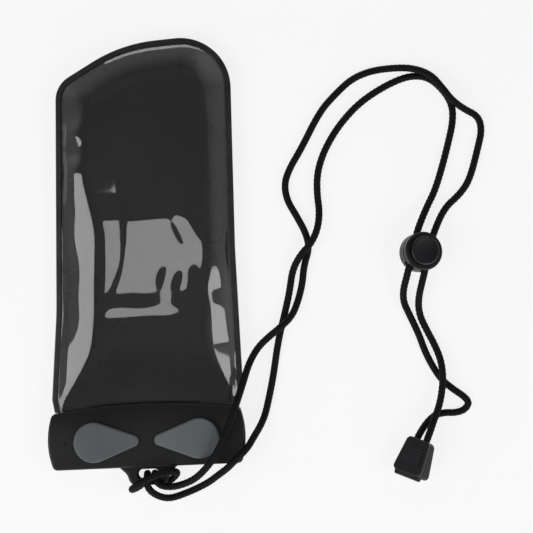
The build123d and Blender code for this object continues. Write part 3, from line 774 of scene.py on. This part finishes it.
def steel_finish():
    made = Finish("spring_steel")
    drawn = made.noise(700.0, 3.0, 0.6)
    made.principled(
        Base_Color=made.mix(drawn.above(0.3, 0.7), (0.42, 0.42, 0.43), (0.58, 0.58, 0.6)),
        Metallic=1.0,
        Roughness=0.25 + drawn * 0.15,
        Normal=made.bump(drawn, 0.2, 0.00003),
    )
    return made


def cord_finish():
    cord = settings("cord")
    made = Finish("braided_yarn")
    drawn_out = {"Vector": made.place("UV"), "Scale": (60.0, 2600.0, 1.0)}
    fibre = made.noise(1.0, where=made.node("ShaderNodeMapping", None, drawn_out))
    fuzz = made.noise(5200.0, 2.0, 0.6)
    crown = made.node("ShaderNodeAttribute", {"attribute_name": "crown"}, None, out=2)
    # Painted light: the valleys between the yarns are darkened as painted shade, the yarns' crowns are
    # lightened, and their tops get bright painted highlight dots.
    tone = made.mix(crown.above(0.3, 0.9), shade(cord.colour, 0.3), shade(cord.colour, 1.6))
    tone = made.mix(crown.above(0.88, 0.99) * 0.8, tone, shade(cord.colour, 9.0))
    tone = made.mix(fibre.above(0.5, 0.8) * 0.25, tone, shade(cord.colour, 4.0))
    made.principled(
        Base_Color=tone,
        Roughness=0.5 + fuzz * 0.2,
        Specular_IOR_Level=0.12,
        Normal=made.bump(fibre + fuzz * 0.6, 0.3, 0.00006),
    )
    return made


# Stage


def add_camera(scene, stage):
    """A camera that looks straight down on the case."""
    camera = bpy.data.cameras.new("camera")
    camera.sensor_width = SENSOR_WIDTH
    camera.lens = SENSOR_WIDTH * stage.camera_height / stage.view_width
    camera.clip_start = 0.01
    camera.clip_end = 20.0
    holder = bpy.data.objects.new("camera", camera)
    scene.collection.objects.link(holder)
    holder.location = (*VIEW_CENTRE, stage.camera_height)
    holder.rotation_euler = (0.0, 0.0, -stage.turn)
    scene.camera = holder


def add_floor(context):
    """A pale floor that partly glows, so that it shows and mirrors as evenly lit."""
    bpy.ops.mesh.primitive_plane_add(size=FLOOR_SIZE, location=FLOOR_MIDDLE)
    floor = context.active_object
    floor.name = "floor"
    floor.data.transform(Matrix.Translation(floor.location))
    floor.location = (0.0, 0.0, 0.0)
    paper = Finish("pale_floor")
    grain = paper.noise(60.0, 3.0, 0.5)
    base = paper.mix(grain.above(0.3, 0.7), (0.90, 0.90, 0.90), (0.92, 0.92, 0.92))
    cover = paper.node("ShaderNodeBsdfDiffuse", None, {"Color": base})
    glow = paper.node("ShaderNodeEmission", None, {"Color": (1.0, 1.0, 1.0, 1.0), "Strength": 1.0})
    path = paper.tree.nodes.new("ShaderNodeLightPath")
    seen = Value(paper, path.outputs["Is Camera Ray"])
    mirrored = Value(paper, path.outputs["Is Glossy Ray"])
    through = Value(paper, path.outputs["Is Transmission Ray"])
    share = seen.math("MAXIMUM", mirrored).math("MAXIMUM", through) * FLOOR_GLOW
    mixed = paper.node("ShaderNodeMixShader", None, {0: share, 1: cover, 2: glow})
    paper.tree.links.new(mixed.socket, paper.output.inputs["Surface"])
    floor.data.materials.append(paper.material)


def add_sky(scene):
    """A white sky, brighter low down than overhead."""
    world = bpy.data.worlds.new("studio")
    scene.world = world
    world.use_nodes = True
    tree = world.node_tree
    tree.nodes.clear()
    output = tree.nodes.new("ShaderNodeOutputWorld")
    background = tree.nodes.new("ShaderNodeBackground")
    where = tree.nodes.new("ShaderNodeTexCoord")
    parts = tree.nodes.new("ShaderNodeSeparateXYZ")
    level = tree.nodes.new("ShaderNodeMapRange")
    level.interpolation_type = "SMOOTHSTEP"
    for socket, value in SKY.items():
        level.inputs[socket].default_value = value
    background.inputs["Color"].default_value = (1.0, 1.0, 1.0, 1.0)
    tree.links.new(where.outputs["Generated"], parts.inputs[0])
    tree.links.new(parts.outputs["Z"], level.inputs["Value"])
    tree.links.new(level.outputs[0], background.inputs["Strength"])
    tree.links.new(background.outputs[0], output.inputs["Surface"])


def add_lamps(scene, stage):
    """The lamps whose reflections light the films and the clip."""
    for name, shape, place, target, size, power in LAMPS:
        light = bpy.data.lights.new(name, "AREA")
        light.shape = shape
        light.size, light.size_y = size
        light.energy = power * stage.lamp_strength
        lamp = bpy.data.objects.new(name, light)
        scene.collection.objects.link(lamp)
        lamp.location = place
        aim = Vector(target) - Vector(place)
        lamp.rotation_euler = aim.to_track_quat("-Z", "Y").to_euler()


# Operators


class CASE_OT_stage(bpy.types.Operator):
    """Add the floor, the lamps, the sky and the camera"""

    bl_idname = "case.stage"
    bl_label = "Stage"

    def execute(self, context):
        stage = settings("stage")
        scene = context.scene
        scene.view_settings.view_transform = "Standard"
        add_camera(scene, stage)
        add_floor(context)
        add_sky(scene)
        add_lamps(scene, stage)
        return {"FINISHED"}


class CASE_OT_neck_cord(bpy.types.Operator):
    """Add the braided neck cord along its route"""

    bl_idname = "case.neck_cord"
    bl_label = "Neck cord"

    def execute(self, context):
        cord = settings("cord")
        centre = cord_line(context)
        length = float(np.linalg.norm(np.diff(centre, axis=0), axis=1).sum())
        around = POINTS_PER_YARN * cord.yarns
        rows = min(int(ROWS_PER_YARN * cord.yarns * length / cord.lay), MOST_CORD_POINTS // around)
        centre = resample(centre, rows)
        tangent = np.gradient(centre, axis=0)
        tangent /= np.linalg.norm(tangent, axis=1)[:, None]
        side = carried_side(tangent)
        up = np.cross(tangent, side)
        angle = np.arange(around) / around * 2 * math.pi
        along = np.linspace(0, length, rows)
        turns = angle[None, :] / (2 * math.pi) * cord.yarns
        twist = along[:, None] / cord.lay * cord.yarns
        left, right = turns + twist, turns - twist
        over = (np.floor(left) + np.floor(right)) % 2 == 0
        crown = np.where(over, yarn_crown(left, right), yarn_crown(right, left))
        radius = cord.diameter / 2 - cord.relief * (1 - crown)
        spokes = np.cos(angle)[None, :, None] * side[:, None] + np.sin(angle)[None, :, None] * up[:, None]
        vertices = (centre[:, None] + spokes * radius[:, :, None]).reshape(-1, 3)
        faces = tube_faces(rows, around)
        piece = mesh_piece("braided_cord", vertices, faces, cord_finish(), "case")
        mesh = piece.data
        attribute = mesh.attributes.new("crown", "FLOAT", "POINT")
        attribute.data.foreach_set("value", crown.astype(np.float32).ravel())
        lay_fibres(mesh, along, around)
        mesh.polygons.foreach_set("use_smooth", [True] * len(mesh.polygons))
        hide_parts("neck_cord")
        return {"FINISHED"}


class CASE_OT_films(bpy.types.Operator):
    """Add the clear front film and the dark back film of the pouch"""

    bl_idname = "case.films"
    bl_label = "Films"

    def execute(self, context):
        front, back = clear_film_finish(), dark_film_finish()
        film_piece("clear_film", FRONT_RISE, front_folds, front, "front_window")
        film_piece("dark_film", BACK_RISE, back_folds, back, "back_sheet", downward=True)
        return {"FINISHED"}


class CASE_OT_clip(bpy.types.Operator):
    """Finish the weld, the jaws, the seal, the levers and the spindles"""

    bl_idname = "case.clip"
    bl_label = "Clip"

    def execute(self, context):
        clip = settings("clip")
        dress("welded_rim", weld_finish())
        jaw = moulded_finish("satin_jaw", tuple(clip.jaw), 0.36, shine=0.34)
        dress("rear_jaw", jaw)
        dress("front_jaw", jaw)
        dress("seal_strip", rubber_finish())
        lever = moulded_finish("satin_lever", tuple(clip.lever), 0.42)
        inner = moulded_finish("satin_spindle", shade(clip.lever, 0.8), 0.45)
        steel = steel_finish()
        for side in ("left", "right"):
            dress(side + "_lever", lever)
            dress(side + "_spindle", inner)
            dress(side + "_split_ring", steel)
        return {"FINISHED"}


class CASE_OT_cord_pieces(bpy.types.Operator):
    """Finish the cord lock and the cord end"""

    bl_idname = "case.cord_pieces"
    bl_label = "Cord lock and cord end"

    def execute(self, context):
        clip = settings("clip")
        body = moulded_finish("satin_lock", tuple(clip.lock), 0.34, shine=0.28)
        button = moulded_finish("polished_button", shade(clip.lock, 1.15), 0.22, depth=0.00003)
        end = moulded_finish("satin_cord_end", shade(clip.lock, 0.95), 0.36, shine=0.2)
        dress("lock_body", body)
        dress("lock_button", button)
        dress("lock_spring", steel_finish())
        dress("cord_end_lid", ribbed_finish("satin_ribbed_lid", shade(clip.lock, 0.95)))
        for node in ("cord_end_base", "cord_end_pin"):
            dress(node, end)
        return {"FINISHED"}


class CASE_PT_panel(bpy.types.Panel):
    """The case's pieces and settings"""

    bl_idname = "CASE_PT_panel"
    bl_label = "Waterproof phone case"
    bl_space_type = "VIEW_3D"
    bl_region_type = "UI"
    bl_category = "Case"

    def draw(self, context):
        for operator in OPERATORS:
            self.layout.operator(operator.bl_idname)
        for part, group in GROUPS.items():
            box = self.layout.box()
            box.label(text=part.capitalize())
            for name in group.__annotations__:
                box.prop(settings(part), name)


GROUPS = {"cord": CordSettings, "film": FilmSettings, "clip": ClipSettings, "stage": StageSettings}
OPERATORS = (CASE_OT_stage, CASE_OT_neck_cord, CASE_OT_films, CASE_OT_clip, CASE_OT_cord_pieces)


def register():
    for part, group in GROUPS.items():
        bpy.utils.register_class(group)
        setattr(bpy.types.Scene, "case_" + part, PointerProperty(type=group))
    for operator in OPERATORS:
        bpy.utils.register_class(operator)
    bpy.utils.register_class(CASE_PT_panel)


def unregister():
    bpy.utils.unregister_class(CASE_PT_panel)
    for operator in reversed(OPERATORS):
        bpy.utils.unregister_class(operator)
    for part, group in GROUPS.items():
        delattr(bpy.types.Scene, "case_" + part)
        bpy.utils.unregister_class(group)


def main():
    register()
    bpy.ops.case.stage()
    bpy.ops.case.neck_cord()
    bpy.ops.case.films()
    bpy.ops.case.clip()
    bpy.ops.case.cord_pieces()


if __name__ == "__main__":
    main()
